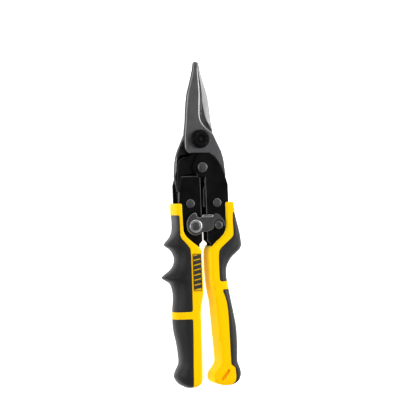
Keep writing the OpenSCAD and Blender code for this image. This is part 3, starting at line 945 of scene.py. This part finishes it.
def make_latch_washer():
    profile = [
        (LATCH_BORE, 21.12), (4.95, 21.12), (4.98, 21.3), (4.88, 21.52), (4.7, 21.62), (4.5, 21.62),
        (4.36, 21.5), (4.3, 21.3), (LATCH_BORE, 21.28),
    ]
    node, body, slot = "latch_washer", "left_handle", "bright_steel"
    turned_part(node, "plated", profile, LATCH_RIVET, PLATING_AND_HIGHLIGHT_STEEL, body, 72)


def pin(node, finish, centre, collar, outside, body, seed):
    """A pin through a frame's front wall, with a collar inside the wall and a given top outside."""
    low = MID + FRAME_INNER
    profile = [(0, low - 0.8), (collar - 0.2, low - 0.8), (collar, low - 0.6), (collar, low)]
    profile += [(collar - 1, low), *outside]
    turned_part(node, finish, profile, centre, RIVET_STEEL, body, wobble=uneven(seed))


def make_pins():
    """The latch's rivet, and the stud that its hook catches."""
    top = [(2.6, 21.5), *head(3.4, 1.1, 21.5), (0, 22.6)]
    pin("latch_rivet", "peened", LATCH_RIVET, 3.6, top, "left_handle", 0.9)
    top = [(2.2, 18.1), (3.55, 18.12), *head(3.6, 3.2, 18.3), (0, 21.5)]
    pin("catch_stud", "turned", CATCH_STUD, 3.2, top, "right_handle", 2.2)


# ---- grips

# Each curve is a table of places down the handle, from the jaws' pivot, and distances out from its
# middle line. A zone is where it starts, where it ends and whether the core fills it by itself.
FINGER_OUTER = [
    [50, 23.3], [58, 23.3], [65, 22.9], [71, 23.3], [76, 25.8], [80.5, 30.3], [82.5, 30.8],
    [85, 27.2], [88, 24.6], [93, 22.9], [98, 24], [102, 27.1], [105, 31.4], [107.5, 34], [109.6, 31.2],
    [112, 27.7], [117, 25.6], [124, 25], [133, 26.1], [140, 26.3], [149, 25.8], [159, 23.8],
    [168, 22.7], [175, 22.6], [180, 25.2], [184, 26.8], [187, 26], [191, 23], [193.8, 19],
]
FINGER_INNER = [
    [50, 17.4], [60, 17.4], [70, 17], [73, 16.3], [75.5, 14.8], [78, 12.4], [80.5, 9.3],
    [83, 6.2], [85, 4], [86.5, 2.9], [88.5, 2.4], [95, 2.3], [112, 2.1], [120, 2.3], [127, 3.6],
    [134, 4.8], [145, 5], [186, 5.5], [190, 6.3], [192, 7.8], [193.8, 11],
]
FINGER_SEAM = [
    [50, 20.5], [70, 20.5], [74, 20.45], [75.5, 20.1], [77.4, 19.2], [79, 17.7], [83.6, 13.9],
    [85.2, 12.9], [87.5, 12.5], [95, 12.3], [130, 12.6], [150, 12.9], [193.8, 14],
]
THUMB_OUTER = [
    [50, 25], [58, 25.8], [64, 27.4], [70, 29], [76, 30.4], [81, 31.3], [84, 31.6],
    [87, 30.6], [90, 27.4], [93, 23.6], [97, 20.4], [101, 18.4], [107, 17.8], [113, 18.4], [120, 19.5],
    [130, 21.1], [140, 23], [148, 24.3], [162, 24.7], [175, 24.3], [179, 25.3], [183.5, 26.6],
    [187, 26.3], [190.5, 24.4], [192.6, 21.5], [193.8, 18],
]
THUMB_INNER = [
    [50, 17], [60, 17], [70, 16.7], [73, 15.8], [75.5, 14], [78, 11.4], [80.5, 8.4],
    [83, 5.7], [85, 3.8], [87, 2.8], [90, 2.5], [100, 2.4], [116, 3.3], [126, 4.9], [136, 5.8],
    [150, 6.6], [168, 7.8], [175.5, 7.8], [179.5, 5.6], [183, 2.4], [186, 1.5], [189, 1.9],
    [191.4, 4.2], [193.8, 10],
]
THUMB_SEAM = [
    [50, 21.9], [58, 22.9], [66, 22.8], [71, 23], [75.4, 22.9], [77.2, 22.2], [79, 20.4],
    [84.4, 13.9], [86, 12.2], [87.8, 11], [90, 10.5], [96, 10.2], [112, 10.5], [118, 12.1],
    [124, 14.1], [130, 15.6], [141, 16.4], [176, 17.1], [177.4, 17.3], [178.6, 19],
    [179.8, 20.2], [182, 20.6], [188, 20.8], [191, 19.9], [193.8, 17.4],
]
FINGER_ZONES = [(50, 59, True), (59, 134.4, False), (134.4, 140, True), (140, 193.8, False)]
THUMB_ZONES = [(50, 58, True), (58, 112, False), (112, 118.2, True), (118.2, 193.8, False)]
# The pressed frames' lower edge, which the grips leave room for.
FRAME_FOOT = [
    (4.6, -84.2), (7.5, -86.5), (10.5, -83.8), (14, -80.6), (17.5, -77.4), (20.2, -74), (20.2, -50),
]
SIDE_POINTS = 22
CORE_SQUARE, PAD_SQUARE = 5, 2.6
SEAM_DEPTH = 0.4
CORNER = 1.6
FAR = 9  # further from a border than any rounding reaches
CUT_HIGH = 22  # above every grip's face


def rounding(distance, radius, reach):
    """How far a rounded edge has dropped at a distance inside it."""
    t = min(1, max(0, 1 - distance / reach))
    return radius * (1 - math.sqrt(1 - t * t))


def half_oval(x0, x1, h, square):
    """Half of a squared-off oval, from its top at x0 to its bottom, without its two end points."""
    points = []
    for i in range(1, SIDE_POINTS):
        a = math.pi * i / SIDE_POINTS
        across = math.sin(a) ** (2 / square)
        up = math.copysign(abs(math.cos(a)) ** (2 / square), math.cos(a))
        points.append((x0 + (x1 - x0) * across, h * up))
    return points


def half_ring(xs, x1, h, square, groove):
    """One side of a section from the seam's top to its bottom, with the seam's groove."""
    lip = math.copysign(min(0.45, 0.2 * abs(x1 - xs)), x1 - xs)
    drop = 0.06 if groove else 0.0
    body = [(x, z) for x, z in half_oval(xs, x1, h, square) if abs(x - xs) > abs(lip) * 1.2]
    missing = SIDE_POINTS - 1 - len(body)
    body = [(xs + lip * (1 + 0.1 * k), h - drop) for k in range(missing // 2)] + body
    body += [(xs + lip * (1 + 0.1 * k), drop - h) for k in reversed(range(missing - missing // 2))]
    start = [(xs, h - groove), (xs + lip * 0.6, h - drop)]
    return start + body + [(xs + lip * 0.6, drop - h), (xs, groove - h)]


def seam_wall(xs, h):
    """The flat wall at the seam, from its bottom to its top."""
    return [(xs, z) for x, z in half_oval(xs, xs, h, PAD_SQUARE)][::-1]


class Grip:
    """The curves and zones of one grip, on the thumb side; the finger side is turned over."""

    def __init__(self, inner, outer, seam, zones):
        self.inner, self.outer, self.seam_table, self.zones = inner, outer, seam, zones
        self.top, self.end = zones[0][0], zones[-1][1]

    def half(self, s):
        """Half the grip's thickness, which is less at its top and at its round end."""
        a = max(0, 1 - (s - self.top) / 2)
        b = max(0, 1 - (self.end - s) / 6)
        return MID - 0.6 * a**2 - 3.6 * (1 - math.sqrt(1 - 0.96 * b**2))

    def border(self, s, low, high):
        """How far a place is from the zone's nearer border with a neighbour."""
        return min(s - low if low > self.top else FAR, high - s if high < self.end else FAR)

    def clear(self, s, low, high, gap):
        """The place, moved to keep a gap from the zone's borders with its neighbours."""
        if low > self.top:
            s = max(s, low + gap)
        if high < self.end:
            s = min(s, high - gap)
        return s

    def seam(self, s):
        """The seam, which turns outwards round the corners of each pad."""
        corner = 0.0
        for low, high, full in self.zones:
            if low <= s <= high:
                corner = CORNER if full else rounding(self.border(s, low, high), CORNER, CORNER)
        width = table_value(self.outer, s) - table_value(self.seam_table, s)
        return table_value(self.seam_table, s) + min(corner, 0.4 * width)

    def cap(self, s):
        """How far the grip's whole section shrinks at its top and its end."""
        return rounding(s - self.top, 0.9, 1.4) + rounding(self.end - s, 1.2, 1.6)

    def core_ring(self, s, full, border):
        """A ring round the core, which stops at the seam unless it fills the zone."""
        cap, xs = self.cap(s), self.seam(s)
        h = self.half(s) - cap
        xi = table_value(self.inner, s) + cap
        groove = 0 if full else SEAM_DEPTH
        outer = seam_wall(xs, h - groove)
        if full:
            drop = rounding(border, 0.3, 0.45)
            xo = table_value(self.outer, s) - cap - drop
            outer = half_oval(xs, xo, h - drop, PAD_SQUARE)[::-1]
        return [(x, -s, MID + z) for x, z in half_ring(xs, xi, h, CORE_SQUARE, groove) + outer]

    def core_rings(self):
        rings = []
        for low, high, full in self.zones:
            for s in stations(low, high):
                at = self.clear(s, low, high, 0.02)
                rings.append(self.core_ring(at, full, self.border(at, low, high)))
        return rings

    def pad_rings(self, zone):
        low, high, _ = zone
        rings = []
        for s in stations(low, high):
            at = self.clear(s, low, high, 0.06)
            drop = rounding(self.border(at, low, high), 0.35, 0.6) + self.cap(at)
            xs = self.seam(at)
            h = self.half(at) - drop
            xo = table_value(self.outer, at) - drop
            ring = half_ring(xs, xo, h, PAD_SQUARE, SEAM_DEPTH) + seam_wall(xs, h - SEAM_DEPTH)
            rings.append([(x, -at, MID + z) for x, z in ring][::-1])
        return rings


def stations(low, high):
    """Places about a millimetre apart, closer together beside each border."""
    fine = [0, 0.08, 0.2, 0.4, 0.7, 1.1, 1.6]
    places = [low + d for d in fine] + [high - d for d in fine if high - d > low + 1.6]
    count = round(high - low - 3.2)
    places += [low + 1.6 + (high - low - 3.2) * k / count for k in range(1, count)]
    return sorted(places)


def frame_room():
    """What a grip leaves free for the pressed frame inside it."""
    outline = [Vector(p) for p in [(-30, -84.2)] + FRAME_FOOT + [(20.2, -40), (-30, -40)]]
    low, high = MID - FRAME_OUTER, MID + FRAME_OUTER
    return plate("frame_room", outline, low, high, YELLOW_PLASTIC, edge=0.05)


def badge_pocket():
    return plate("pocket", badge_outline(0, 0.8), BADGE_FLOOR, CUT_HIGH, YELLOW_PLASTIC, edge=0.1)


def bulb_slot():
    """The slanted slot in the thumb-side grip's bulb, whose walls take a darker orange as painted shade.
    """
    radius, bottom = 1.4, 18.4
    outline = capsule((14.9, -182.2), (10.1, -188), radius)
    return plate("slot", outline, bottom, CUT_HIGH, YELLOW_PAINTED_SHADE)


BADGE_LOW, BADGE_HIGH = (-11.6, -119.0), (-3.5, -89.0)
BADGE_FLOOR, BADGE_FACE = 19.1, 19.72


def badge_outline(inset, radius):
    x0, y0 = [v + inset for v in BADGE_LOW]
    x1, y1 = [v - inset for v in BADGE_HIGH]
    return fillet([(x0, y0), (x1, y0), (x1, y1), (x0, y1)], radius, 5)


def badge_plate(name, outline, holes=()):
    return plate(name, outline, BADGE_FLOOR, BADGE_FACE, INK, holes, 0.04)


def make_badge():
    """A plain strip: a thin outline and a row of slanted blocks, sunk into the finger-side grip."""
    rim = badge_plate("grip_badge_print", badge_outline(0.7, 0.5), [badge_outline(1.05, 0.4)])
    x0, x1 = BADGE_LOW[0] + 1.3, BADGE_HIGH[0] - 1.3
    length, slant, pitch = 2.9, 1.2, 3.85
    blocks = []
    for k in range(7):
        y = BADGE_LOW[1] + 1.75 + pitch * k
        corners = [(x0, y), (x1, y + slant), (x1, y + slant + length), (x0, y + length)]
        blocks.append(badge_plate("block", fillet(corners, 0.3, 3)))
    badge = shaded(joined([rim] + blocks), 30)
    stands_for(badge, "left_handle", "grip_badge")


def paint_inner_walls(core):
    """Gives the walls that face the middle line a lighter yellow: painted light that lifts their shade.
    """
    core.data.materials.append(YELLOW_PAINTED_LIGHT)
    for face in core.data.polygons:
        if face.normal.x * face.center.x < 0 and abs(face.normal.x) > 0.55:
            face.material_index = len(core.data.materials) - 1


def make_core(side, grip):
    core = loft(f"{side}_grip_core_moulded", grip.core_rings(), YELLOW_PLASTIC)
    boolean(core, frame_room(), "DIFFERENCE")
    if side == "left":
        turned(core)
    boolean(core, badge_pocket() if side == "left" else bulb_slot(), "DIFFERENCE")
    paint_inner_walls(core)
    stands_for(shaded(core, 30), f"{side}_handle", f"{side}_grip_core")


def make_pads(side, grip):
    for place, zone in (("upper", grip.zones[1]), ("lower", grip.zones[3])):
        node = f"{side}_{place}_pad"
        pad = loft(node + "_moulded", grip.pad_rings(zone), GREY_RUBBER)
        if side == "left":
            turned(pad)
        stands_for(shaded(pad, 40), f"{side}_handle", node)


def make_grips():
    finger = Grip(FINGER_INNER, FINGER_OUTER, FINGER_SEAM, FINGER_ZONES)
    thumb = Grip(THUMB_INNER, THUMB_OUTER, THUMB_SEAM, THUMB_ZONES)
    for side, grip in (("left", finger), ("right", thumb)):
        make_core(side, grip)
        make_pads(side, grip)


# ---- stage


def make_floor():
    half, z = 3000, -0.1
    corners = [(-half, -half, z), (half, -half, z), (half, half, z), (-half, half, z)]
    add_mesh("floor", corners, [(0, 1, 2, 3)], [floor_material()])


def make_world():
    """A soft studio, bright near the floor and darker overhead."""
    scene = bpy.context.scene
    scene.view_settings.view_transform = "Standard"
    world = bpy.data.worlds.new("studio")
    scene.world = world
    world.use_nodes = True
    nodes, links = world.node_tree.nodes, world.node_tree.links
    place = nodes.new("ShaderNodeTexCoord")
    split = nodes.new("ShaderNodeSeparateXYZ")
    ramp = nodes.new("ShaderNodeValToRGB")
    links.new(place.outputs["Generated"], split.inputs["Vector"])
    links.new(split.outputs["Z"], ramp.inputs["Fac"])
    links.new(ramp.outputs["Color"], nodes["Background"].inputs["Color"])
    ramp.color_ramp.interpolation = "EASE"
    low, high = ramp.color_ramp.elements
    low.position, low.color = 0.45, (1.4, 1.4, 1.4, 1)
    high.position, high.color = 0.88, (0.16, 0.16, 0.165, 1)
    nodes["Background"].inputs["Strength"].default_value = 0.75


def make_lamps():
    aim = Vector((0, -0.06, 0.01))
    for name, spot, size, power in (
        ("left_softbox", (-1.0, 0.1, 0.8), 0.7, 4.5),
        ("right_softbox", (1.0, 0.1, 0.8), 0.7, 13.5),
        ("head_softbox", (0.1, 1.1, 0.9), 0.8, 6.0),
        ("top_softbox", (-0.45, -0.1, 1.2), 0.5, 3.0),
    ):
        lamp = bpy.data.lights.new(name, "AREA")
        lamp.size = size
        lamp.energy = power
        holder = bpy.data.objects.new(name, lamp)
        holder.location = spot
        holder.rotation_euler = (aim - Vector(spot)).to_track_quat("-Z", "Y").to_euler()
        bpy.context.scene.collection.objects.link(holder)


def make_camera():
    """A long lens above the snips, turned towards the finger side."""
    yaw, roll, distance = math.radians(17), math.radians(2.2), 1.2
    across = Vector((math.cos(yaw), 0, math.sin(yaw)))
    up = Vector((0, 1, 0))
    back = across.cross(up)
    right = across * math.cos(roll) - up * math.sin(roll)
    top = across * math.sin(roll) + up * math.cos(roll)
    target = Vector((-0.0029, -0.0478, 0.018))
    lens = bpy.data.cameras.new("camera")
    lens.lens = 138.6
    lens.clip_start, lens.clip_end = 0.05, 20
    camera = bpy.data.objects.new("camera", lens)
    place = Matrix((right, top, back)).transposed().to_4x4()
    place.translation = target + back * distance
    camera.matrix_world = place
    bpy.context.scene.collection.objects.link(camera)
    bpy.context.scene.camera = camera


make_camera()
make_jaws()
make_nut()
make_bolt()
make_pivot_washers()
make_rivets()
make_spring()
make_small_parts()
make_frame("left")
make_frame("right")
make_latch()
make_latch_washer()
make_pins()
make_grips()
make_badge()
make_floor()
make_world()
make_lamps()
